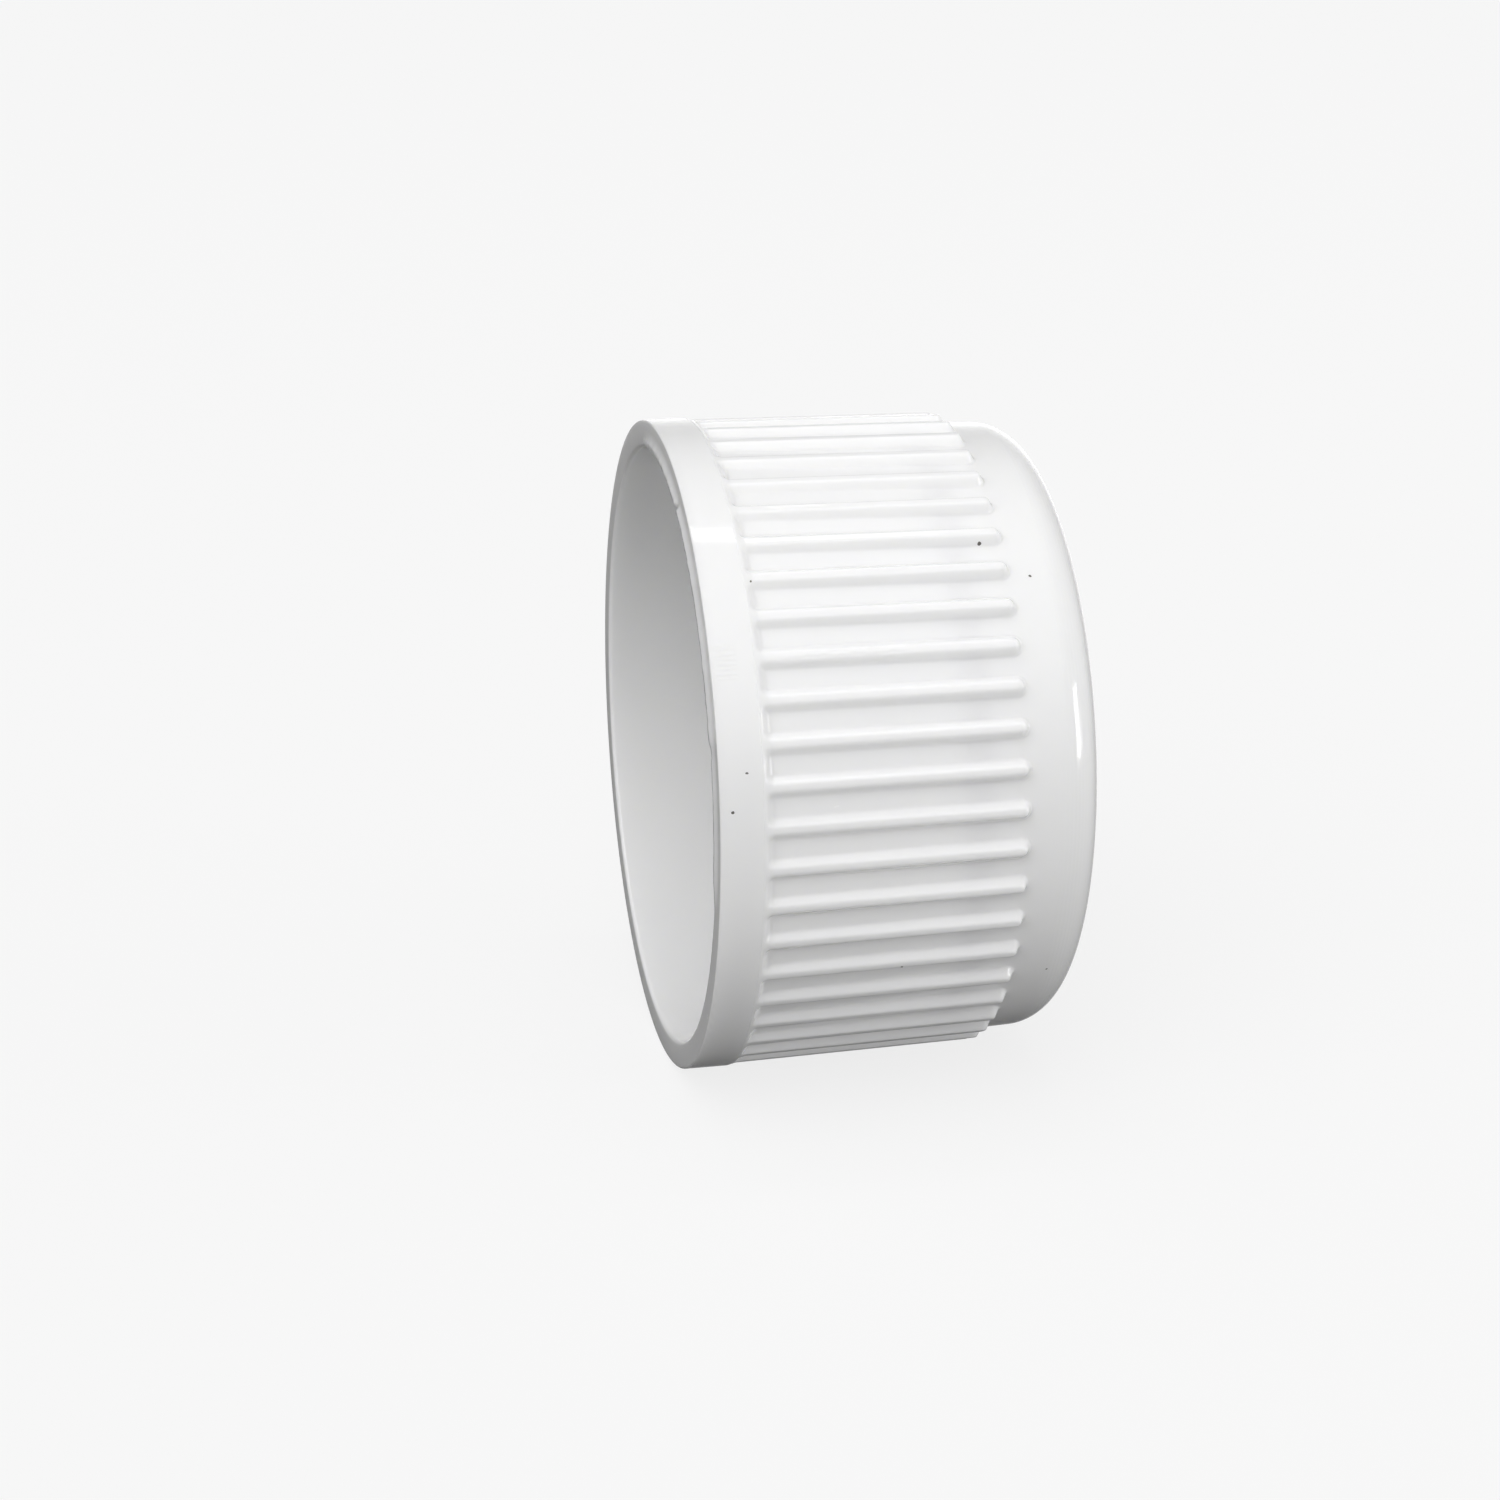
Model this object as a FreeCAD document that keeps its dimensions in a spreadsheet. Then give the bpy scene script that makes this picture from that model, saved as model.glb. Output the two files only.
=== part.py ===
import FreeCAD, Part

import os

import Sketcher

# Push-on cap for the end of a round pipe: one ribbed moulding with a rubber sealing ring inside.
# Frame: millimetres, +Z up.  The cap lies on its side with its axis along X.  The origin is the
# centre of the open mouth: the pipe comes in from -X and the closed end faces +X.

DRIVING_SIZES = [
    # alias, value, meaning (lengths in millimetres, angles in degrees)
    ("overall_length", 32.15, "mouth face to closed end"),
    ("bore_diameter", 50.9, "socket that goes over the pipe"),
    ("mouth_wall", 2.3, "thickness of the plain band round the mouth"),
    ("band_length", 3.75, "width of the plain band"),
    ("band_step", 0.7, "drop from the band to the outer wall, on the radius"),
    ("step_length", 0.6, "length of the slope that makes that drop"),
    ("wall_draft", 2.0, "slope of the outer wall, between the ribs and past them"),
    ("rib_count", 50, "grip ribs round the wall"),
    ("rib_drop", 0.15, "rib crests below the band, on the radius"),
    ("crest_draft", 1.1, "slope of the rib crests"),
    ("smooth_length", 6.55, "closed end to the rounded end of a rib, at its foot"),
    ("rib_width", 1.5, "rib width at its foot"),
    ("rib_flank", 12.0, "slope of a rib's flanks"),
    ("rib_foot_depth", 0.3, "how far a rib's foot is sunk into the wall"),
    ("rib_root_length", 0.5, "how far a rib runs into the band"),
    ("end_corner_radius", 3.7, "rounding between the wall and the closed end"),
    ("end_wall", 2.4, "thickness of the closed end"),
    ("chamber_depth", 7.25, "hollow behind the sealing ring"),
    ("ring_thickness", 2.0, "sealing ring, along the axis"),
    ("ring_width", 1.5, "sealing ring, across its section"),
    ("ring_end_gap", 0.1, "play between the ring and the front of its seat"),
    ("ring_seat_depth", 0.3, "undercut that holds the ring, on the radius"),
    ("ring_edge_radius", 0.25, "rounding of the ring's edges"),
    ("stop_width", 1.5, "shoulder behind the ring, on the radius"),
    ("chamber_corner_radius", 2.0, "rounding inside the closed end"),
    ("mouth_edge_radius", 0.12, "rounding of the band at the mouth"),
    ("band_edge_radius", 0.25, "rounding of the band at its step"),
    ("step_root_radius", 0.35, "rounding where the step meets the wall"),
    ("flash_height", 0.3, "moulding flash left standing on the mouth's face"),
    ("flash_width", 0.5, "thickness of the flash"),
    ("flash_inset", 0.2, "socket's wall to the flash, on the radius"),
    ("flash_sink", 0.1, "how far the flash is rooted in the mouth face"),
    ("flash_up_sweep", 14.0, "flash past the top of the mouth"),
    ("flash_down_sweep", 102.0, "flash from the top of the mouth down the -Y side"),
]

DERIVED_SIZES = [
    # alias, formula
    ("bore_radius", "=bore_diameter / 2"),
    ("band_radius", "=bore_radius + mouth_wall"),
    ("wall_start_radius", "=band_radius - band_step"),
    ("wall_start", "=band_length + step_length"),
    ("wall_slope", "=tan(wall_draft * 1 deg)"),
    ("wall_length", "=overall_length - wall_start"),
    ("wall_end_radius", "=wall_start_radius - wall_length * wall_slope"),
    ("crest_start_radius", "=band_radius - rib_drop"),
    ("crest_start", "=band_length + step_length * rib_drop / band_step"),
    ("crest_slope", "=tan(crest_draft * 1 deg)"),
    ("crest_end_radius",
     "=crest_start_radius - (overall_length - crest_start) * crest_slope"),
    ("clear_radius", "=band_radius * 1.2"),
    ("rib_half_width", "=rib_width / 2"),
    ("rib_start", "=band_length - rib_root_length"),
    ("rib_reach", "=overall_length - smooth_length"),
    ("rib_round_centre", "=rib_reach - rib_half_width"),
    ("rib_foot_radius",
     "=wall_start_radius - (rib_reach - wall_start) * wall_slope - rib_foot_depth"),
    ("rib_foot_height", "=crest_start_radius - rib_foot_radius"),
    ("seat_radius", "=bore_radius + ring_seat_depth"),
    ("chamber_end", "=overall_length - end_wall"),
    ("ring_end", "=chamber_end - chamber_depth"),
    ("ring_start", "=ring_end - ring_thickness"),
    ("socket_depth", "=ring_start - ring_end_gap"),
    ("ring_inner_radius", "=seat_radius - ring_width"),
    ("chamber_radius", "=bore_radius - stop_width"),
    ("flash_inner_radius", "=bore_radius + flash_inset"),
    ("flash_outer_radius", "=flash_inner_radius + flash_width"),
    ("flash_tip", "=-flash_height"),
]

NOTHING = "0"  # a corner on the sketch's own axis
SAME = 1e-4  # lengths closer than this, in millimetres, are the same


def fill_sheet(doc):
    """Write every size into the spreadsheet that drives the model."""
    sheet = doc.addObject("Spreadsheet::Sheet", "Sizes")
    row = 1
    for alias, value, meaning in DRIVING_SIZES:
        sheet.set("A%d" % row, meaning)
        sheet.set("B%d" % row, str(value))
        sheet.setAlias("B%d" % row, alias)
        row += 1
    doc.recompute()
    for alias, formula in DERIVED_SIZES:
        sheet.set("B%d" % row, formula)
        sheet.setAlias("B%d" % row, alias)
        doc.recompute()
        row += 1
    return sheet


def size_of(sheet, alias):
    """One named size as a plain number."""
    if alias == NOTHING:
        return 0.0
    value = sheet.get(alias)
    return float(getattr(value, "Value", value))


def drive(feature, setting, alias):
    """Tie one setting of a feature to a named size."""
    feature.setExpression(setting, "Sizes." + alias)


def new_body(doc, name):
    """A sub-part named for its file, placed at the origin."""
    body = doc.addObject("PartDesign::Body", name)
    body.Label = name
    body.Placement = FreeCAD.Placement()
    return body


def origin_feature(body, role):
    """One of the body's own origin planes or axes."""
    for feature in body.Origin.OriginFeatures:
        if feature.Role == role:
            return feature
    raise ValueError("no origin feature called " + role)


def new_sketch(body, name, plane):
    """Empty sketch on one of the body's origin planes."""
    sketch = body.newObject("Sketcher::SketchObject", name)
    sketch.AttachmentSupport = [(origin_feature(body, plane), "")]
    sketch.MapMode = "FlatFace"
    return sketch


def hold_point(sheet, sketch, line, name, across, up):
    """Hold a line's start at two named sizes from the sketch's origin."""
    for kind, axis, alias in (("DistanceX", -2, across), ("DistanceY", -1, up)):
        if alias == NOTHING:
            sketch.addConstraint(Sketcher.Constraint("PointOnObject", line, 1, axis))
            continue
        rule = Sketcher.Constraint(kind, -1, 1, line, 1, size_of(sheet, alias))
        label = name + kind[-1]
        sketch.renameConstraint(sketch.addConstraint(rule), label)
        drive(sketch, "Constraints." + label, alias)


def outline(sheet, sketch, corners):
    """Closed outline of straight lines: each corner is a name and two named sizes."""
    spots = []
    for name, across, up in corners:
        spots.append(FreeCAD.Vector(size_of(sheet, across), size_of(sheet, up), 0))
    count = len(corners)
    for index in range(count):
        following = (index + 1) % count
        sketch.addGeometry(Part.LineSegment(spots[index], spots[following]), False)
    for index in range(count):
        following = (index + 1) % count
        sketch.addConstraint(Sketcher.Constraint("Coincident", index, 2, following, 1))
    for index, (name, across, up) in enumerate(corners):
        hold_point(sheet, sketch, index, name, across, up)


def turn_about_axis(body, kind, name, sketch):
    """Full turn of a sketch about the cap's axis, adding or cutting."""
    turned = body.newObject(kind, name)
    turned.Profile = sketch
    turned.ReferenceAxis = (origin_feature(body, "X_Axis"), [""])
    turned.Angle = 360
    body.Document.recompute()
    return turned


def round_edge(sheet, body, name, along, radius, rounding_size):
    """Round the circular edge that lies at two named sizes: along the axis and its radius."""
    base = body.Tip
    edge_names = []
    for index, edge in enumerate(base.Shape.Edges):
        if not isinstance(edge.Curve, Part.Circle):
            continue
        in_plane = abs(edge.Curve.Center.x - size_of(sheet, along)) < SAME
        if in_plane and abs(edge.Curve.Radius - size_of(sheet, radius)) < SAME:
            edge_names.append("Edge%d" % (index + 1))
    if not edge_names:
        raise ValueError("no edge to round for " + name)
    rounding = body.newObject("PartDesign::Fillet", name)
    rounding.Base = (base, edge_names)
    drive(rounding, "Radius", rounding_size)
    body.Document.recompute()


def turn_blank(sheet, body):
    """The plain turned outside: band, step, tapered wall and closed end."""
    sketch = new_sketch(body, "blank_outline", "XZ_Plane")
    outline(sheet, sketch, [
        ("mouth_outside", NOTHING, "band_radius"),
        ("band_back", "band_length", "band_radius"),
        ("wall_front", "wall_start", "wall_start_radius"),
        ("wall_end", "overall_length", "wall_end_radius"),
        ("end_centre", "overall_length", NOTHING),
        ("mouth_centre", NOTHING, NOTHING),
    ])
    turn_about_axis(body, "PartDesign::Revolution", "blank", sketch)
    round_edge(sheet, body, "end_rounding", "overall_length", "wall_end_radius",
               "end_corner_radius")
    round_edge(sheet, body, "mouth_rounding", NOTHING, "band_radius", "mouth_edge_radius")
    round_edge(sheet, body, "band_rounding", "band_length", "band_radius", "band_edge_radius")
    round_edge(sheet, body, "step_rounding", "wall_start", "wall_start_radius",
               "step_root_radius")


def hollow_out(sheet, body):
    """Socket, ring seat, stop shoulder and chamber, cut after the ribs so none reaches inside."""
    sketch = new_sketch(body, "hollow_outline", "XZ_Plane")
    outline(sheet, sketch, [
        ("mouth_middle", NOTHING, NOTHING),
        ("mouth_inside", NOTHING, "bore_radius"),
        ("socket_end", "socket_depth", "bore_radius"),
        ("seat_front", "socket_depth", "seat_radius"),
        ("seat_back", "ring_end", "seat_radius"),
        ("stop_inside", "ring_end", "chamber_radius"),
        ("chamber_corner", "chamber_end", "chamber_radius"),
        ("chamber_centre", "chamber_end", NOTHING),
    ])
    turn_about_axis(body, "PartDesign::Groove", "hollow", sketch)
    round_edge(sheet, body, "chamber_rounding", "chamber_end", "chamber_radius",
               "chamber_corner_radius")


def add_ribs(sheet, body):
    """Grip ribs: one tapered rib with a round end, repeated, then all crests turned to a cone."""
    sketch = new_sketch(body, "rib_plan", "XY_Plane")
    drive(sketch, "AttachmentOffset.Base.z", "rib_foot_radius")
    start = size_of(sheet, "rib_start")
    centre = size_of(sheet, "rib_round_centre")
    half = size_of(sheet, "rib_half_width")
    corners = [(centre, -half), (start, -half), (start, half), (centre, half)]
    spots = [FreeCAD.Vector(across, up, 0) for across, up in corners]
    for first, second in zip(spots, spots[1:]):
        sketch.addGeometry(Part.LineSegment(first, second), False)
    tip = FreeCAD.Vector(centre + half, 0, 0)
    sketch.addGeometry(Part.Arc(spots[0], tip, spots[3]), False)
    lower, back, upper, end = 0, 1, 2, 3
    sketch.addConstraint(Sketcher.Constraint("Coincident", lower, 2, back, 1))
    sketch.addConstraint(Sketcher.Constraint("Coincident", back, 2, upper, 1))
    sketch.addConstraint(Sketcher.Constraint("Tangent", end, 1, lower, 1))
    sketch.addConstraint(Sketcher.Constraint("Tangent", end, 2, upper, 2))
    sketch.addConstraint(Sketcher.Constraint("PointOnObject", end, 3, -1))
    sketch.addConstraint(Sketcher.Constraint("Horizontal", upper))
    sketch.addConstraint(Sketcher.Constraint("Vertical", back))
    for label, rule, alias in (
        ("start", Sketcher.Constraint("DistanceX", -1, 1, back, 1, start), "rib_start"),
        ("centre", Sketcher.Constraint("DistanceX", -1, 1, end, 3, centre), "rib_round_centre"),
        ("half_width", Sketcher.Constraint("Radius", end, half), "rib_half_width"),
    ):
        sketch.renameConstraint(sketch.addConstraint(rule), label)
        drive(sketch, "Constraints." + label, alias)

    rib = body.newObject("PartDesign::Pad", "rib")
    rib.Profile = sketch
    drive(rib, "Length", "rib_foot_height")
    rib.setExpression("TaperAngle", "-Sizes.rib_flank")
    body.Document.recompute()

    ring_of_ribs = body.newObject("PartDesign::PolarPattern", "ring_of_ribs")
    ring_of_ribs.Originals = [rib]
    ring_of_ribs.Axis = (origin_feature(body, "X_Axis"), [""])
    ring_of_ribs.Angle = 360
    drive(ring_of_ribs, "Occurrences", "rib_count")
    body.Tip = ring_of_ribs
    body.Document.recompute()

    crest_sketch = new_sketch(body, "crest_outline", "XZ_Plane")
    outline(sheet, crest_sketch, [
        ("crest_front", "crest_start", "crest_start_radius"),
        ("crest_back", "overall_length", "crest_end_radius"),
        ("clear_back", "overall_length", "clear_radius"),
        ("clear_front", "crest_start", "clear_radius"),
    ])
    turn_about_axis(body, "PartDesign::Groove", "crest_turning", crest_sketch)


def add_flash(sheet, body):
    """Low ridge of moulding flash on part of the mouth's face."""
    sketch = new_sketch(body, "flash_outline", "XZ_Plane")
    outline(sheet, sketch, [
        ("tip_inside", "flash_tip", "flash_inner_radius"),
        ("tip_outside", "flash_tip", "flash_outer_radius"),
        ("root_outside", "flash_sink", "flash_outer_radius"),
        ("root_inside", "flash_sink", "flash_inner_radius"),
    ])
    flash = body.newObject("PartDesign::Revolution", "flash")
    flash.Profile = sketch
    flash.ReferenceAxis = (origin_feature(body, "X_Axis"), [""])
    flash.Type = "TwoAngles"
    drive(flash, "Angle", "flash_down_sweep")
    drive(flash, "Angle2", "flash_up_sweep")
    body.Document.recompute()


def build_cap_body(sheet, doc):
    """The moulded cap."""
    body = new_body(doc, "cap_body")
    turn_blank(sheet, body)
    add_ribs(sheet, body)
    hollow_out(sheet, body)
    add_flash(sheet, body)
    return body


def build_sealing_ring(sheet, doc):
    """Rubber ring that sits in the undercut against the stop shoulder."""
    body = new_body(doc, "sealing_ring")
    sketch = new_sketch(body, "ring_outline", "XZ_Plane")
    outline(sheet, sketch, [
        ("front_inside", "ring_start", "ring_inner_radius"),
        ("front_outside", "ring_start", "seat_radius"),
        ("back_outside", "ring_end", "seat_radius"),
        ("back_inside", "ring_end", "ring_inner_radius"),
    ])
    turn_about_axis(body, "PartDesign::Revolution", "ring", sketch)
    round_edge(sheet, body, "front_inside_rounding", "ring_start", "ring_inner_radius",
               "ring_edge_radius")
    round_edge(sheet, body, "front_outside_rounding", "ring_start", "seat_radius",
               "ring_edge_radius")
    return body


def check_and_export(doc, bodies):
    """Stop on any feature that failed, then write one file per sub-part."""
    doc.recompute()
    for feature in doc.Objects:
        if "Invalid" in feature.State or "Error" in feature.State:
            raise RuntimeError("feature failed: " + feature.Label)
    os.makedirs("parts", exist_ok=True)
    for body in bodies:
        shape = body.Shape
        if shape.isNull() or not shape.isValid() or len(shape.Solids) != 1:
            raise RuntimeError("bad solid: " + body.Label)
        shape.exportStep("parts/" + body.Label + ".step")


def main():
    """Build both sub-parts from one sheet of sizes."""
    doc = FreeCAD.newDocument("pipe_cap")
    sheet = fill_sheet(doc)
    bodies = [build_cap_body(sheet, doc), build_sealing_ring(sheet, doc)]
    check_and_export(doc, bodies)


main()
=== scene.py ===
import logging
import math
from dataclasses import dataclass, field
from enum import Enum

import bpy
from mathutils import Matrix, Vector


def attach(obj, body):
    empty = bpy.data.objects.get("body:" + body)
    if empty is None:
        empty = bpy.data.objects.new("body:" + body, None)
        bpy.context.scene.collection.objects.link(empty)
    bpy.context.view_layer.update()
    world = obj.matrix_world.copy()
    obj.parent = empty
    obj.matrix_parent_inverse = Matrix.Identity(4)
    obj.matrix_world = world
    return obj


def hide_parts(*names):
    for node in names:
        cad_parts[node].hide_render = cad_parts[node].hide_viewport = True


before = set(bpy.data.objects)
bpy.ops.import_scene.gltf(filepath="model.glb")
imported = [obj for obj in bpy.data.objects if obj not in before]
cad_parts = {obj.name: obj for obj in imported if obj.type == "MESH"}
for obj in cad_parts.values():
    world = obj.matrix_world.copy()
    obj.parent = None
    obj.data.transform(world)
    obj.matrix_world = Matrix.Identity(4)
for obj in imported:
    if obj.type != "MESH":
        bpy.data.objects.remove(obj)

LOG = logging.getLogger("pipe_cap")
MM = 0.001  # millimetres to metres
BODY = "root"
SECTORS = 50  # equal sectors round the axis, one grip rib in each
PITCH = math.tau / SECTORS
SUPPORT = 0.06  # mm from a rounding to the row that holds the flat beside it
LIP = "lip_rise"  # attribute: how much a point rises with the flash
SMALL_ANGLE = 1e-7


class Slot(Enum):
    """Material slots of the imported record."""

    PLASTIC = "cap_plastic"
    RUBBER = "ring_rubber"


class Socket(Enum):
    """Kinds of node socket used in the trees."""

    GEOMETRY = "NodeSocketGeometry"
    NUMBER = "NodeSocketFloat"
    WHOLE = "NodeSocketInt"
    VECTOR = "NodeSocketVector"
    MATERIAL = "NodeSocketMaterial"


# ---------------------------------------------------------------- small helpers


def smoothstep(value: float, low: float, high: float) -> float:
    """Smooth rise from 0 at low to 1 at high.

    Args:
        value: Where to read the curve.
        low: End of the flat part at 0.
        high: Start of the flat part at 1.

    Returns:
        The height of the curve, from 0 to 1.
    """
    share = min(max((value - low) / (high - low), 0.0), 1.0)
    return share * share * (3.0 - 2.0 * share)


def new_group(name: str, kind: str, inputs: list, outputs: list) -> bpy.types.NodeTree:
    """Make an empty node group with named sockets.

    Args:
        name: Name of the group.
        kind: Blender's type of the tree.
        inputs: Rows of socket name, Socket and default value (or None).
        outputs: Rows of socket name and Socket.

    Returns:
        The group, with its input and output nodes in place.
    """
    tree = bpy.data.node_groups.new(name, kind)
    for label, socket, default in inputs:
        made = tree.interface.new_socket(label, in_out="INPUT", socket_type=socket.value)
        if default is not None:
            made.default_value = default
    for label, socket in outputs:
        tree.interface.new_socket(label, in_out="OUTPUT", socket_type=socket.value)
    tree.nodes.new("NodeGroupInput").name = "in"
    tree.nodes.new("NodeGroupOutput").name = "out"
    return tree


class Wiring:
    """Short ways to add and join the nodes of one tree."""

    def __init__(self, tree: bpy.types.NodeTree) -> None:
        """Keep the tree that nodes are added to."""
        self.tree = tree

    def node(self, kind: str, **settings: object) -> bpy.types.Node:
        """Add a node and set its properties.

        Args:
            kind: Blender's type of the node.
            settings: Property names and values.

        Returns:
            The new node.
        """
        made = self.tree.nodes.new(kind)
        for key, value in settings.items():
            setattr(made, key, value)
        return made

    def feed(self, socket: bpy.types.NodeSocket, value: object) -> None:
        """Link a socket to another, or give it a plain value.

        Args:
            socket: The input to fill.
            value: An output socket, or a number, vector or colour.
        """
        if isinstance(value, bpy.types.NodeSocket):
            self.tree.links.new(value, socket)
        else:
            socket.default_value = value

    def maths(self, operation: str, *values: object, clamp: bool = False) -> bpy.types.NodeSocket:
        """One Math node.

        Args:
            operation: Blender's name of the operation.
            values: Sockets or numbers, in order.
            clamp: Whether the result is held between 0 and 1.

        Returns:
            The node's output.
        """
        made = self.node("ShaderNodeMath", operation=operation, use_clamp=clamp)
        for socket, value in zip(made.inputs, values):
            self.feed(socket, value)
        return made.outputs[0]

    def rise(self, value: object, low: float, high: float, to_low: float = 0.0,
             to_high: float = 1.0) -> bpy.types.NodeSocket:
        """A smooth step from one value to another.

        Args:
            value: Socket that is read.
            low: Input at which the step starts.
            high: Input at which the step ends.
            to_low: Output below the step.
            to_high: Output above the step.

        Returns:
            The stepped value.
        """
        made = self.node("ShaderNodeMapRange", interpolation_type="SMOOTHSTEP")
        for label, given in (("Value", value), ("From Min", low), ("From Max", high),
                             ("To Min", to_low), ("To Max", to_high)):
            self.feed(made.inputs[label], given)
        return made.outputs["Result"]

    def noise(self, vector: object, scale: object, detail: float,
              rough: float = 0.5) -> bpy.types.NodeSocket:
        """A noise texture read at a vector.

        Args:
            vector: Where the noise is read.
            scale: Features per metre.
            detail: Octaves of finer noise.
            rough: Strength of the finer octaves.

        Returns:
            The noise, about 0 to 1.
        """
        made = self.node("ShaderNodeTexNoise")
        for label, given in (("Vector", vector), ("Scale", scale), ("Detail", detail),
                             ("Roughness", rough)):
            self.feed(made.inputs[label], given)
        return made.outputs[0]

    def stretch(self, vector: object, factors: tuple) -> bpy.types.NodeSocket:
        """A vector multiplied along each axis.

        Args:
            vector: The vector socket.
            factors: Multipliers along X, Y and Z.

        Returns:
            The stretched vector.
        """
        made = self.node("ShaderNodeVectorMath", operation="MULTIPLY")
        self.feed(made.inputs[0], vector)
        made.inputs[1].default_value = factors
        return made.outputs[0]

    def round_axis(self, place: bpy.types.NodeSocket) -> tuple:
        """Where a place lies along X and round it.

        Args:
            place: Position socket.

        Returns:
            Sockets with the place along X, in metres, and the angle, in degrees: 0 faces -Y
            and 90 faces up.
        """
        parts = self.node("ShaderNodeSeparateXYZ")
        self.feed(parts.inputs[0], place)
        front = self.maths("MULTIPLY", parts.outputs["Y"], -1.0)
        angle = self.maths("DEGREES", self.maths("ARCTAN2", parts.outputs["Z"], front))
        return parts.outputs["X"], angle


# ---------------------------------------------------------------- turned outlines


@dataclass(frozen=True)
class Corner:
    """One corner of a turned outline, in millimetres, with its rounding."""

    along: float
    radius: float
    rounding: float = 0.08
    steps: int = 2


def rounded_outline(corners: list) -> list:
    """Replace corners by arcs and add rows that hold the flats.

    Args:
        corners: Corner objects in order; the first and the last stay sharp.

    Returns:
        Points (along, radius) of the outline, in millimetres.
    """
    points = [Vector((corners[0].along, corners[0].radius))]
    for before, here, after in zip(corners, corners[1:], corners[2:]):
        points.extend(corner_arc(before, here, after))
    points.append(Vector((corners[-1].along, corners[-1].radius)))
    held = [points[0]]
    for start, end in zip(points, points[1:]):
        length = (end - start).length
        if length > 4.0 * SUPPORT:
            held.append(start.lerp(end, SUPPORT / length))
            held.append(end.lerp(start, SUPPORT / length))
        held.append(end)
    return [(point.x, point.y) for point in held]


def corner_arc(before: Corner, here: Corner, after: Corner) -> list:
    """Arc that rounds one corner of an outline.

    Args:
        before: The corner before.
        here: The corner that is rounded.
        after: The corner after.

    Returns:
        Points of the arc, in order.
    """
    tip = Vector((here.along, here.radius))
    back = (Vector((before.along, before.radius)) - tip).normalized()
    ahead = (Vector((after.along, after.radius)) - tip).normalized()
    half = back.angle(ahead) / 2.0
    reach = here.rounding / math.tan(half)
    centre = tip + (back + ahead).normalized() * (here.rounding / math.sin(half))
    first = tip + back * reach - centre
    last = tip + ahead * reach - centre
    turn = first.angle_signed(last)
    arc = []
    for step in range(here.steps + 1):
        share = step / here.steps
        spoke = first.copy()
        spoke.rotate(Matrix.Rotation(-turn * share, 2))
        arc.append(centre + spoke)
    return arc


def level_at(points: list, along: float) -> float:
    """Radius of an outline at one place along the axis.

    Args:
        points: Outline points whose first number never falls.
        along: Where to read it, in millimetres.

    Returns:
        The radius, in millimetres.
    """
    for (start, low), (end, high) in zip(points, points[1:]):
        if start <= along <= end and end > start:
            return low + (high - low) * (along - start) / (end - start)
    return points[-1][1] if along > points[-1][0] else points[0][1]


def turned_row(along: float, radius: float, columns: int) -> list:
    """Points at one radius across a sector, or one point on the axis.

    Args:
        along: Place along the axis, in millimetres.
        radius: Radius, in millimetres.
        columns: Equal steps across the sector.

    Returns:
        (angle, along, radius) of each point.
    """
    if radius <= 0.0:
        return [(0.0, along, 0.0)]
    return [(PITCH * (step / columns - 0.5), along, radius) for step in range(columns + 1)]


class Sector:
    """Mesh of one sector of a turned piece, built row by row from the inside to the outside."""

    def __init__(self) -> None:
        """Start with no rows."""
        self.points: list = []
        self.faces: list = []
        self.lifts: list = []
        self.last_row: list = []

    def add_row(self, spots: list, lift: float = 0.0) -> None:
        """Add a row and join it to the row before.

        Args:
            spots: (angle, along, radius) of each point, by rising angle; a single point is a pole.
            lift: How much the row rises with the flash.
        """
        row = []
        for angle, along, radius in spots:
            row.append((angle, len(self.points)))
            self.points.append((
                along * MM,
                -radius * MM * math.cos(angle),
                radius * MM * math.sin(angle),
            ))
            self.lifts.append(lift)
        if self.last_row:
            self.join(self.last_row, row)
        self.last_row = row

    def add_turned_row(self, along: float, radius: float, columns: int, lift: float = 0.0) -> None:
        """Add a row at one radius, or a pole where the radius is nothing.

        Args:
            along: Place along the axis, in millimetres.
            radius: Radius, in millimetres.
            columns: Equal steps across the sector.
            lift: How much the row rises with the flash.
        """
        self.add_row(turned_row(along, radius, columns), lift)

    def join(self, lower: list, upper: list) -> None:
        """Fill the strip between two rows, which may have different numbers of points.

        Args:
            lower: (angle, index) of the earlier row.
            upper: (angle, index) of the later row.
        """
        i, j = 0, 0
        while i < len(lower) - 1 or j < len(upper) - 1:
            can_i, can_j = i < len(lower) - 1, j < len(upper) - 1
            if can_i and can_j and abs(lower[i + 1][0] - upper[j + 1][0]) < SMALL_ANGLE:
                self.faces.append((lower[i][1], upper[j][1], upper[j + 1][1], lower[i + 1][1]))
                i, j = i + 1, j + 1
            elif can_i and (not can_j or lower[i + 1][0] < upper[j + 1][0]):
                self.faces.append((lower[i][1], upper[j][1], lower[i + 1][1]))
                i += 1
            else:
                self.faces.append((lower[i][1], upper[j][1], upper[j + 1][1]))
                j += 1

    def to_object(self, name: str) -> bpy.types.Object:
        """Put the sector into the scene.

        Args:
            name: Name of the object.

        Returns:
            An object at the origin that holds the sector's mesh.
        """
        mesh = bpy.data.meshes.new(name)
        mesh.from_pydata(self.points, [], self.faces)
        lips = mesh.attributes.new(LIP, "FLOAT", "POINT")
        lips.data.foreach_set("value", self.lifts)
        mesh.validate()
        made = bpy.data.objects.new(name, mesh)
        bpy.context.scene.collection.objects.link(made)
        return made


# ---------------------------------------------------------------- repeating round the axis


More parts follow.
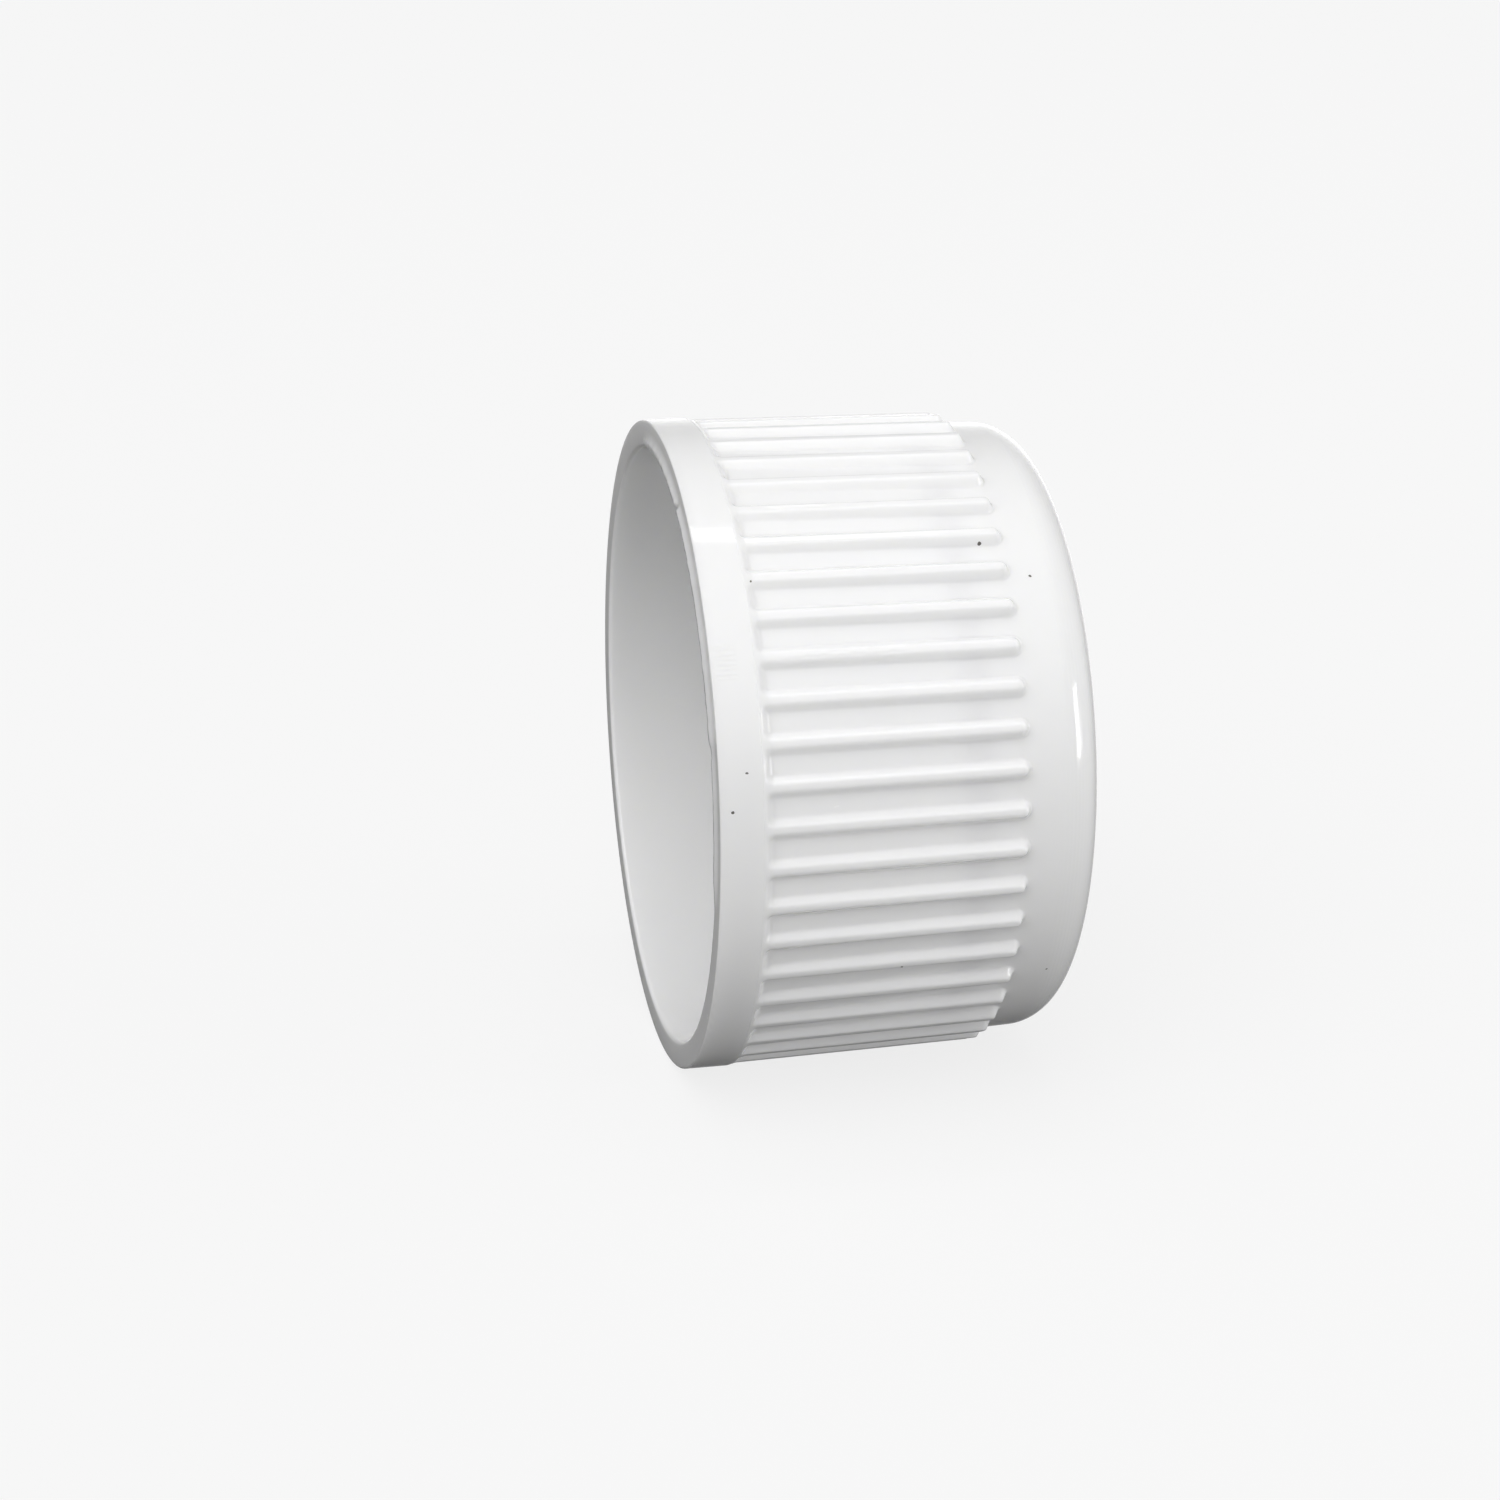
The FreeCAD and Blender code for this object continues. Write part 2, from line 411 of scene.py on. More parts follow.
@dataclass(frozen=True)
class FlashRule:
    """Where the ridge of moulding flash stands on the mouth's face.

    Angles are in degrees round the axis: 0 faces -Y and 90 faces up.
    """

    height: float = 0.3  # mm, where the ridge is whole
    inner_radius: float = 25.65  # mm
    thickness: float = 0.5  # mm
    foot: float = 0.02  # mm, how far the side leans
    foot_rise: float = 0.45  # share of the height there
    edge: float = 0.05  # mm, rounding of the ridge's edges
    edge_rise: float = 0.93
    slope: float = 0.9  # mm, run-out of the ridge's outer side
    slope_rise: float = 0.95  # where the run-out starts
    slope_power: float = 2.6  # how fast it falls
    slope_steps: int = 9
    top_end: float = 104.0
    low_from: float = 22.0  # below this angle the ridge is lower
    low_share: float = 0.7
    bottom_end: float = -14.0
    notch: float = 66.5
    notch_half: float = 1.1
    jog: float = 17.0
    jog_half: float = 2.0
    jog_share: float = 0.55
    fade: float = 9.0
    ragged: float = 0.15  # share of the height that wanders
    ragged_scale: float = 900.0  # per metre

    def outer_radius(self) -> float:
        """Radius of the ridge's outer edge, in millimetres."""
        return self.inner_radius + self.thickness

    def section(self) -> list:
        """Section across the ridge.

        Returns:
            Pairs of radius, in millimetres, and share of the ridge's height.
        """
        inner, outer = self.inner_radius, self.outer_radius()
        made = [(inner, 0.0), (inner + self.foot, self.foot_rise), (inner + self.edge, self.edge_rise),
                (inner + 2.0 * self.edge, 1.0), (outer - 2.0 * self.edge, 1.0)]
        for step in range(self.slope_steps + 1):
            part = step / self.slope_steps
            rise = self.slope_rise * (1.0 - part) ** self.slope_power
            made.append((outer - self.edge + part * self.slope, rise))
        return made


class TurnTree:
    """Geometry Nodes that repeat a sector round X, raise the flash and close the seams."""

    NAME = "repeat_round_axis"

    def __init__(self, rule: FlashRule) -> None:
        """Build the tree once.

        Args:
            rule: Where the flash stands.
        """
        self.tree = new_group(
            self.NAME, "GeometryNodeTree",
            [
                ("Sector", Socket.GEOMETRY, None),
                ("Count", Socket.WHOLE, SECTORS),
                ("Pitch", Socket.NUMBER, PITCH),
                ("Phase", Socket.NUMBER, 0.0),
                ("Seam Gap", Socket.NUMBER, 2e-6),
                ("Flash Height", Socket.NUMBER, 0.0),
                ("Finish", Socket.MATERIAL, None),
            ],
            [("Geometry", Socket.GEOMETRY)],
        )
        self.wiring = Wiring(self.tree)
        self.lay_out(rule)

    def lay_out(self, rule: FlashRule) -> None:
        """Add and join the nodes.

        Args:
            rule: Where the flash stands.
        """
        w = self.wiring
        given = self.tree.nodes["in"].outputs
        turn = w.maths("ADD", w.maths("MULTIPLY", w.node("GeometryNodeInputIndex").outputs[0],
                                      given["Pitch"]), given["Phase"])
        spin = w.node("ShaderNodeCombineXYZ")
        w.feed(spin.inputs["X"], turn)
        points = w.node("GeometryNodePoints")
        w.feed(points.inputs["Count"], given["Count"])
        copies = w.node("GeometryNodeInstanceOnPoints")
        w.feed(copies.inputs["Points"], points.outputs[0])
        w.feed(copies.inputs["Instance"], given["Sector"])
        w.feed(copies.inputs["Rotation"], spin.outputs[0])
        real = w.node("GeometryNodeRealizeInstances")
        w.feed(real.inputs[0], copies.outputs[0])
        merged = w.node("GeometryNodeMergeByDistance")
        w.feed(merged.inputs["Geometry"], real.outputs[0])
        w.feed(merged.inputs["Distance"], given["Seam Gap"])
        raised = w.node("GeometryNodeSetPosition")
        w.feed(raised.inputs["Geometry"], merged.outputs[0])
        w.feed(raised.inputs["Offset"], self.flash_offset(rule, given["Flash Height"]))
        smooth = w.node("GeometryNodeSetShadeSmooth")
        w.feed(smooth.inputs["Geometry"], raised.outputs[0])
        dressed = w.node("GeometryNodeSetMaterial")
        w.feed(dressed.inputs["Geometry"], smooth.outputs[0])
        w.feed(dressed.inputs["Material"], given["Finish"])
        w.feed(self.tree.nodes["out"].inputs[0], dressed.outputs[0])

    def flash_offset(self, rule: FlashRule, height: bpy.types.NodeSocket) -> bpy.types.NodeSocket:
        """How far each point is pushed out of the mouth.

        Args:
            rule: Where the flash stands.
            height: Socket with the full height, in metres.

        Returns:
            The offset vector.
        """
        w = self.wiring
        place = w.node("GeometryNodeInputPosition").outputs[0]
        angle = w.round_axis(place)[1]
        below_top = w.rise(angle, rule.top_end - rule.fade, rule.top_end, 1.0, 0.0)
        above_end = w.rise(angle, rule.bottom_end, rule.bottom_end + rule.fade)
        body = w.rise(angle, rule.low_from - rule.fade, rule.low_from, rule.low_share, 1.0)
        share = w.maths("MULTIPLY", w.maths("MULTIPLY", below_top, above_end), body)
        for middle, half, floor in ((rule.notch, rule.notch_half, 0.0),
                                    (rule.jog, rule.jog_half, rule.jog_share)):
            away = w.maths("ABSOLUTE", w.maths("SUBTRACT", angle, middle))
            share = w.maths("MULTIPLY", share, w.rise(away, 0.3 * half, half, floor, 1.0))
        wander = w.noise(place, rule.ragged_scale, 2.0)
        ragged = w.rise(wander, 0.35, 0.65, 1.0 - rule.ragged, 1.0)
        share = w.maths("MULTIPLY", share, ragged)
        lips = w.node("GeometryNodeInputNamedAttribute", data_type="FLOAT")
        lips.inputs["Name"].default_value = LIP
        push = w.maths("MULTIPLY", w.maths("MULTIPLY", share, lips.outputs[0]), height)
        made = w.node("ShaderNodeCombineXYZ")
        w.feed(made.inputs["X"], w.maths("MULTIPLY", push, -1.0))
        return made.outputs[0]

    def turn(self, sector: bpy.types.Object, name: str, finish: bpy.types.Material,
             phase: float, flash_height: float = 0.0) -> bpy.types.Object:
        """Repeat a sector and keep the result as one plain mesh.

        Args:
            sector: Object with the sector's mesh; it is used up.
            name: Name of the finished piece.
            finish: Material of the piece.
            phase: Turn of the first sector, in radians.
            flash_height: Full height of the flash, in metres.

        Returns:
            The finished piece, at the origin.
        """
        modifier = sector.modifiers.new("turned", "NODES")
        modifier.node_group = self.tree
        values = {"Count": SECTORS, "Pitch": PITCH, "Phase": phase,
                  "Flash Height": flash_height, "Finish": finish}
        for item in self.tree.interface.items_tree:
            if item.in_out == "INPUT" and item.name in values:
                modifier[item.identifier] = values[item.name]
        graph = bpy.context.evaluated_depsgraph_get()
        mesh = bpy.data.meshes.new_from_object(sector.evaluated_get(graph))
        mesh.name = name
        rough = sector.data
        bpy.data.objects.remove(sector)
        bpy.data.meshes.remove(rough)
        if LIP in mesh.attributes:
            mesh.attributes.remove(mesh.attributes[LIP])
        piece = bpy.data.objects.new(name, mesh)
        bpy.context.scene.collection.objects.link(piece)
        return piece


# ---------------------------------------------------------------- finishes


class SurfaceEffects:
    """Shader node groups that more than one finish uses."""

    def __init__(self) -> None:
        """Build the groups once."""
        self.ripple = self.build_ripple()
        self.marks = self.build_marks()
        self.dust = self.build_dust()

    @staticmethod
    def build_ripple() -> bpy.types.NodeTree:
        """Height of a moulded skin: slow waves and fine orange peel.

        Returns:
            The group, with a Height output.
        """
        tree = new_group("moulded_skin", "ShaderNodeTree", [
            ("Vector", Socket.VECTOR, None), ("Wave Scale", Socket.NUMBER, 110.0),
            ("Peel Scale", Socket.NUMBER, 900.0), ("Peel Share", Socket.NUMBER, 0.2),
        ], [("Height", Socket.NUMBER)])
        w = Wiring(tree)
        given = tree.nodes["in"].outputs
        drawn = w.stretch(given["Vector"], (0.35, 1.0, 1.0))
        waves = w.noise(drawn, given["Wave Scale"], 2.0, 0.4)
        peel = w.noise(w.stretch(given["Vector"], (0.4, 1.0, 1.0)), given["Peel Scale"], 3.0, 0.55)
        both = w.maths("MULTIPLY_ADD", peel, given["Peel Share"], waves)
        w.feed(tree.nodes["out"].inputs["Height"], both)
        return tree

    @staticmethod
    def build_marks() -> bpy.types.NodeTree:
        """Mask of fine rub marks and hairline scratches left by handling.

        Returns:
            The group, with a Mask output.
        """
        tree = new_group("handling_marks", "ShaderNodeTree", [
            ("Vector", Socket.VECTOR, None), ("Scale", Socket.NUMBER, 260.0),
            ("Amount", Socket.NUMBER, 0.5),
        ], [("Mask", Socket.NUMBER)])
        w = Wiring(tree)
        given = tree.nodes["in"].outputs
        lines = []
        for factors in ((1.0, 14.0, 3.0), (7.0, 1.0, 11.0)):
            streak = w.noise(w.stretch(given["Vector"], factors), given["Scale"], 4.0, 0.6)
            lines.append(w.rise(streak, 0.66, 0.74))
        patches = w.rise(w.noise(given["Vector"], 95.0, 2.0), 0.45, 0.7)
        either = w.maths("MAXIMUM", *lines)
        mask = w.maths("MULTIPLY", w.maths("MULTIPLY", either, patches), given["Amount"], clamp=True)
        w.feed(tree.nodes["out"].inputs["Mask"], mask)
        return tree

    @staticmethod
    def build_dust() -> bpy.types.NodeTree:
        """Mask of sparse specks of dust.

        Returns:
            The group, with a Mask output.
        """
        tree = new_group("dust_specks", "ShaderNodeTree", [
            ("Vector", Socket.VECTOR, None), ("Scale", Socket.NUMBER, 190.0),
            ("Size", Socket.NUMBER, 0.035), ("Share", Socket.NUMBER, 0.05),
        ], [("Mask", Socket.NUMBER)])
        w = Wiring(tree)
        given = tree.nodes["in"].outputs
        bent = w.node("ShaderNodeVectorMath", operation="MULTIPLY_ADD")
        curl = w.node("ShaderNodeTexNoise")
        w.feed(curl.inputs["Vector"], given["Vector"])
        curl.inputs["Scale"].default_value = 2500.0
        w.feed(bent.inputs[0], curl.outputs["Color"])
        bent.inputs[1].default_value = (0.25 * MM,) * 3
        w.feed(bent.inputs[2], given["Vector"])
        cells = w.node("ShaderNodeTexVoronoi", feature="F1")
        w.feed(cells.inputs["Vector"], bent.outputs[0])
        w.feed(cells.inputs["Scale"], given["Scale"])
        draw = w.node("ShaderNodeSeparateXYZ")
        w.feed(draw.inputs[0], cells.outputs["Color"])
        chosen = w.maths("LESS_THAN", draw.outputs["X"], given["Share"])
        close = w.maths("LESS_THAN", cells.outputs["Distance"],
                        w.maths("MULTIPLY", given["Size"], w.maths("ADD", draw.outputs["Y"], 0.5)))
        w.feed(tree.nodes["out"].inputs["Mask"], w.maths("MULTIPLY", chosen, close))
        return tree


@dataclass(frozen=True)
class RipplePatch:
    """A patch of fine parallel ripples that the mould left, running along the axis."""

    angle_from: float  # degrees round the axis: 0 faces -Y and 90 faces up
    angle_to: float
    along_from: float  # mm from the mouth
    along_to: float
    spacing: float  # degrees from ripple to ripple
    height: float  # share of the finish's bump depth
    wander: float  # degrees by which the ripples stray
    wander_scale: float = 420.0  # per metre
    side_fade: float = 0.15  # share of the patch's width over which it fades at each side
    end_fade: float = 0.2  # share of the patch's length over which it fades at each end

    def relief(self, w: Wiring, place: bpy.types.NodeSocket) -> bpy.types.NodeSocket:
        """Height of the ripples, fading out at the patch's edges.

        Args:
            w: Wiring of the material.
            place: Object coordinates.

        Returns:
            The height, as a share of the bump depth.
        """
        along, angle = w.round_axis(place)
        strayed = w.maths("MULTIPLY_ADD", w.noise(place, self.wander_scale, 2.0), self.wander, angle)
        wave = w.maths("SINE", w.maths("MULTIPLY", strayed, math.tau / self.spacing))
        for where, start, end, share in (
                (angle, self.angle_from, self.angle_to, self.side_fade),
                (along, self.along_from * MM, self.along_to * MM, self.end_fade)):
            fade = share * (end - start)
            wave = w.maths("MULTIPLY", wave, w.rise(where, start, start + fade))
            wave = w.maths("MULTIPLY", wave, w.rise(where, end - fade, end, 1.0, 0.0))
        return w.maths("MULTIPLY", wave, self.height / 2.0)


@dataclass(frozen=True)
class SurfaceFinish:
    """A finish made of a base colour, moulded skin, handling marks and dust."""

    name: str
    colour: tuple
    tint: tuple  # colour that drifts in, slowly, over the surface
    dust_colour: tuple
    roughness: float
    mark_roughness: float
    wave_scale: float
    peel_scale: float
    peel_share: float
    bump_depth: float  # mm of height between the lowest and highest of the skin
    mark_amount: float
    dust_share: float
    dust_size: float
    scatter: float = 0.0
    scatter_depth: float = 0.0  # mm
    patches: tuple = ()

    def group(self, w: Wiring, tree: bpy.types.NodeTree, vector: object,
              **values: float) -> bpy.types.Node:
        """Place one shared effect in the material.

        Args:
            w: Wiring of the material.
            tree: The effect's group.
            vector: Where the effect is read.
            values: Input names, with _ for spaces, and their values.

        Returns:
            The group's node.
        """
        made = w.node("ShaderNodeGroup", node_tree=tree)
        w.feed(made.inputs["Vector"], vector)
        for key, value in values.items():
            made.inputs[key.replace("_", " ")].default_value = value
        return made

    def mix(self, w: Wiring, share: object, first: object, second: object) -> bpy.types.NodeSocket:
        """Mix two colours.

        Args:
            w: Wiring of the material.
            share: How much of the second colour.
            first: First colour or socket.
            second: Second colour or socket.

        Returns:
            The mixed colour.
        """
        made = w.node("ShaderNodeMix", data_type="RGBA")
        w.feed(made.inputs[0], share)
        w.feed(made.inputs[6], first)
        w.feed(made.inputs[7], second)
        return made.outputs[2]

    def build(self, effects: SurfaceEffects) -> bpy.types.Material:
        """Make the material.

        Args:
            effects: The shared node groups.

        Returns:
            The finished material.
        """
        material = bpy.data.materials.new(self.name)
        material.use_nodes = True
        w = Wiring(material.node_tree)
        shader = material.node_tree.nodes["Principled BSDF"]
        place = w.node("ShaderNodeTexCoord").outputs["Object"]
        skin = self.group(w, effects.ripple, place, Wave_Scale=self.wave_scale,
                          Peel_Scale=self.peel_scale, Peel_Share=self.peel_share)
        marks = self.group(w, effects.marks, place, Amount=self.mark_amount)
        dust = self.group(w, effects.dust, place, Share=self.dust_share, Size=self.dust_size)
        drift = w.rise(w.noise(w.stretch(place, (0.5, 1.0, 1.0)), 60.0, 3.0), 0.35, 0.75)
        base = self.mix(w, drift, (*self.colour, 1.0), (*self.tint, 1.0))
        colour = self.mix(w, dust.outputs["Mask"], base, (*self.dust_colour, 1.0))
        w.feed(shader.inputs["Base Color"], colour)
        slow = w.rise(w.noise(place, 45.0, 2.0), 0.3, 0.7, self.roughness, self.roughness * 1.25)
        rough = w.node("ShaderNodeMix")
        w.feed(rough.inputs[0], marks.outputs["Mask"])
        w.feed(rough.inputs[2], slow)
        rough.inputs[3].default_value = self.mark_roughness
        w.feed(shader.inputs["Roughness"], rough.outputs[0])
        raised = w.maths("MULTIPLY_ADD", marks.outputs["Mask"], -0.12, skin.outputs["Height"])
        for patch in self.patches:
            raised = w.maths("ADD", raised, patch.relief(w, place))
        bump = w.node("ShaderNodeBump")
        bump.inputs["Strength"].default_value = 1.0
        bump.inputs["Distance"].default_value = self.bump_depth * MM
        w.feed(bump.inputs["Height"], raised)
        w.feed(shader.inputs["Normal"], bump.outputs[0])
        if self.scatter > 0.0:
            shader.inputs["Subsurface Weight"].default_value = self.scatter
            shader.inputs["Subsurface Scale"].default_value = self.scatter_depth * MM
            shader.inputs["Subsurface Radius"].default_value = (1.0, 1.0, 0.95)
        return material


CAP_PLASTIC = SurfaceFinish(
    name="white_moulded_plastic",
    colour=(0.89, 0.89, 0.89),
    tint=(0.875, 0.877, 0.88),
    dust_colour=(0.16, 0.15, 0.14),
    roughness=0.09,
    mark_roughness=0.42,
    wave_scale=110.0,
    peel_scale=1100.0,
    peel_share=0.12,
    bump_depth=0.02,
    mark_amount=0.55,
    dust_share=1.0,
    dust_size=0.022,
    scatter=1.0,
    scatter_depth=1.15,
    patches=(
        RipplePatch(angle_from=28.5, angle_to=35.5, along_from=0.3, along_to=2.3,
                    spacing=0.83, height=1.3, wander=0.25),
        RipplePatch(angle_from=30.5, angle_to=33.5, along_from=4.6, along_to=17.0,
                    spacing=1.1, height=2.0, wander=1.6),
        RipplePatch(angle_from=59.0, angle_to=64.0, along_from=5.0, along_to=15.0,
                    spacing=1.7, height=1.5, wander=2.2),
    ),
)

RING_RUBBER = SurfaceFinish(
    name="black_ring_rubber",
    colour=(0.028, 0.028, 0.030),
    tint=(0.045, 0.045, 0.047),
    dust_colour=(0.35, 0.34, 0.33),
    roughness=0.62,
    mark_roughness=0.45,
    wave_scale=260.0,
    peel_scale=2600.0,
    peel_share=0.5,
    bump_depth=0.03,
    mark_amount=0.6,
    dust_share=0.3,
    dust_size=0.03,
)


# ---------------------------------------------------------------- the cap


@dataclass(frozen=True)
class RibShape:
    """Section and ends of one grip rib, in millimetres."""

    reference_radius: float = 26.9  # where widths are measured
    crest_half: float = 0.24
    foot_half: float = 0.96
    end_centre: float = 24.85  # where the rounded end's curve starts
    columns: tuple = (0.0, 0.16, 0.27, 0.35, 0.43, 0.51, 0.59, 0.67, 0.75, 0.83, 0.92, 1.05, 1.30)
    step_rows: tuple = (3.52, 3.60, 3.68, 3.75, 3.82, 3.89, 3.96, 4.04, 4.12, 4.20, 4.28, 4.36,
                        4.45, 4.56, 4.72, 5.0)
    middle_rows: tuple = (9.0, 15.0, 21.0, 24.6)
    end_rows: tuple = (0.0, 0.14, 0.26, 0.34, 0.42, 0.50, 0.58, 0.66, 0.74, 0.82, 0.91, 1.0, 1.15)

    def angles(self) -> list:
        """Column angles across the sector.

        Returns:
            Angles from minus half the pitch to plus half the pitch, in radians.
        """
        half = [offset / self.reference_radius for offset in self.columns] + [PITCH / 2.0]
        return [-angle for angle in reversed(half[1:])] + half

    def rows(self) -> list:
        """Places along the axis where a row of points is laid.

        Returns:
            The places, rising, in millimetres.
        """
        ends = [self.end_centre + step for step in self.end_rows]
        return [*self.step_rows, *self.middle_rows, *ends]

    def share(self, along: float, angle: float) -> float:
        """How much of the rib's height stands at one place.

        Args:
            along: Place along the axis.
            angle: Angle from the rib's middle, in radians.

        Returns:
            1 on the crest, 0 between ribs.
        """
        across = abs(angle) * self.reference_radius
        away = math.hypot(max(along - self.end_centre, 0.0), across)
        return 1.0 - smoothstep(away, self.crest_half, self.foot_half)


@dataclass
class CapMoulding:
    """The moulded cap: mouth, band, ribbed wall, closed end and the socket inside."""

    overall_length: float = 32.15
    band_radius: float = 27.75
    band_length: float = 3.75
    step_end: float = 4.35
    wall_radius: float = 27.05
    wall_draft: float = 2.0
    crest_drop: float = 0.15
    crest_draft: float = 1.1
    end_corner: float = 3.7
    mouth_edge: float = 0.12  # rounding of the band at the mouth
    socket_radius: float = 25.45
    socket_edge: float = 0.32  # rounding of the socket at the mouth
    seat_radius: float = 25.75
    seat_start: float = 20.4
    seat_end: float = 22.5
    chamber_radius: float = 23.95
    chamber_end: float = 29.75
    gate_radius: float = 2.3
    gate_depth: float = 0.16
    mouth_columns: int = 12  # steps across a sector at the mouth
    inner_columns: int = 6
    outer_columns: int = 8
    middle_columns: int = 3
    mouth_reach: float = 1.0  # how deep the mouth's finer rows go
    middle_radius: float = 8.0  # inside this the closed end needs few columns
    rib: RibShape = field(default_factory=RibShape)
    flash: FlashRule = field(default_factory=FlashRule)

    def inner_outline(self) -> list:
        """Outline from the middle of the chamber's end to the mouth face.

        Returns:
            Points (along, radius), in millimetres.
        """
        return rounded_outline([
            Corner(self.chamber_end, 0.0),
            Corner(self.chamber_end, self.chamber_radius, 2.0, 8),
            Corner(self.seat_end, self.chamber_radius, 0.12, 3),
            Corner(self.seat_end, self.seat_radius, 0.08, 2),
            Corner(self.seat_start, self.seat_radius, 0.08, 2),
            Corner(self.seat_start, self.socket_radius, 0.10, 3),
            Corner(0.0, self.socket_radius, self.socket_edge, 5),
            Corner(0.0, self.band_radius, self.mouth_edge, 4),
            Corner(self.rib.step_rows[0], self.band_radius),
        ])

    def wall_slope(self) -> float:
        """Fall of the wall's radius for each millimetre along."""
        return math.tan(math.radians(self.wall_draft))

    def root_outline(self) -> list:
        """Outline of the wall between the ribs, from the band to the end's middle.

        Returns:
            Points (along, radius), in millimetres.
        """
        end_radius = self.wall_radius - (self.overall_length - self.step_end) * self.wall_slope()
        floor = self.overall_length - self.gate_depth
        return rounded_outline([
            Corner(1.0, self.band_radius),
            Corner(self.band_length, self.band_radius, 0.42, 5),
            Corner(self.step_end, self.wall_radius, 0.55, 5),
            Corner(self.overall_length, end_radius, self.end_corner, 16),
            Corner(self.overall_length, self.gate_radius, 0.10, 3),
            Corner(floor, self.gate_radius - 0.25, 0.10, 3),
            Corner(floor, 0.85, 0.05, 2),
            Corner(self.overall_length - 0.04, 0.75, 0.05, 2),
            Corner(self.overall_length - 0.04, 0.0),
        ])

    def crest_outline(self) -> list:
        """Outline over the ribs' crests.

        Returns:
            Points (along, radius), in millimetres.
        """
        start = self.band_length + 0.12
        radius = self.band_radius - self.crest_drop
        fall = (self.overall_length - start) * math.tan(math.radians(self.crest_draft))
        return rounded_outline([
            Corner(1.0, self.band_radius),
            Corner(self.band_length - 0.15, self.band_radius, 0.5, 4),
            Corner(start + 0.45, radius, 0.5, 4),
            Corner(self.overall_length, radius - fall),
        ])

    def build(self, tree: TurnTree, finish: bpy.types.Material) -> bpy.types.Object:
        """Make the whole moulding as one mesh.

        Args:
            tree: The nodes that repeat the sector.
            finish: Material of the moulding.

        Returns:
            The finished piece.
        """
        rows = self.sector_rows()
        made = Sector()
        for row in rows:
            made.add_row(*row)
        return tree.turn(made.to_object("cap_sector"), "cap_moulding", finish,
                         PITCH / 2.0, self.flash.height * MM)

    def sector_rows(self) -> list:
        """Rows of points of one sector, from the inside's middle to the outside's middle.

        Returns:
            Pairs of (angle, along, radius) lists and lip rise.
        """
        rows = []
        for along, radius in self.inner_outline():
            columns = self.mouth_columns if along < self.mouth_reach else self.inner_columns
            rows.append((turned_row(along, radius, columns), 0.0))
        self.insert_lip(rows)
        root, crest = self.root_outline(), self.crest_outline()
        for along in self.rib.rows():
            low, high = level_at(root, along), level_at(crest, along)
            spots = []
            for angle in self.rib.angles():
                spots.append((angle, along, low + (high - low) * self.rib.share(along, angle)))
            rows.append((spots, 0.0))
        last = self.rib.rows()[-1]
        for along, radius in root:
            if along > last + 0.1:
                columns = self.outer_columns if radius > self.middle_radius else self.middle_columns
                rows.append((turned_row(along, radius, columns), 0.0))
        return rows

    def insert_lip(self, rows: list) -> None:
        """Add the rows that the flash raises, on the mouth's face.

        Args:
            rows: Rows so far, changed in place.
        """
        starts = self.flash.inner_radius - SUPPORT / 2.0
        first = next(place for place, row in enumerate(rows)
                     if row[0][0][1] < SUPPORT and row[0][0][2] > starts)
        rest = [row for row in rows[first:] if row[0][0][2] > self.flash.outer_radius() + self.flash.slope]
        lip = []
        for radius, rise in self.flash.section():
            lip.append((turned_row(self.face_depth(radius), radius, self.mouth_columns), rise))
        rows[first:] = lip + rest

    def face_depth(self, radius: float) -> float:
        """How far the mouth's face lies back at a radius, in millimetres."""
        inside = max(0.0, self.socket_radius + self.socket_edge - radius)
        return self.socket_edge - math.sqrt(self.socket_edge ** 2 - inside ** 2)

    def dress(self, piece: bpy.types.Object) -> None:
        """Tie the moulding to the CAD body it stands for."""
        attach(piece, BODY)
        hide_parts("cap_body")


@dataclass
class SealingRing:
    """The rubber ring in its seat."""

    front: float = 20.5
    back: float = 22.5
    inner_radius: float = 24.25
    outer_radius: float = 25.75
    edge: float = 0.25
    seam_height: float = 0.05
    seam_half: float = 0.09
    columns: int = 6

    def outline(self) -> list:
        """Closed section of the ring, with the mould seam on its inner face.

        Returns:
            Points (along, radius), in millimetres.
        """
        middle = (self.front + self.back) / 2.0
        outer = self.outer_radius - 0.02
        inner = self.inner_radius + self.seam_height
        return rounded_outline([
            Corner(middle, outer),
            Corner(self.back - 0.02, outer, 0.12, 3),
            Corner(self.back - 0.02, inner, 0.12, 3),
            Corner(middle + self.seam_half, inner, 0.03, 2),
            Corner(middle, self.inner_radius, 0.03, 2),
            Corner(middle - self.seam_half, inner, 0.03, 2),
            Corner(self.front, inner, self.edge, 5),
            Corner(self.front, outer, self.edge, 5),
            Corner(middle, outer),
        ])

    def build(self, tree: TurnTree, finish: bpy.types.Material) -> bpy.types.Object:
        """Make the ring as one mesh.

        Args:
            tree: The nodes that repeat the sector.
            finish: Material of the ring.

        Returns:
            The finished piece.
        """
        made = Sector()
        for along, radius in reversed(self.outline()):
            made.add_turned_row(along, radius, self.columns)
        return tree.turn(made.to_object("ring_sector"), "seated_sealing_ring", finish, 0.0)

    def dress(self, piece: bpy.types.Object) -> None:
        """Tie the ring to the CAD body it stands for."""
        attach(piece, BODY)
        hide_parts("sealing_ring")


# ---------------------------------------------------------------- the studio


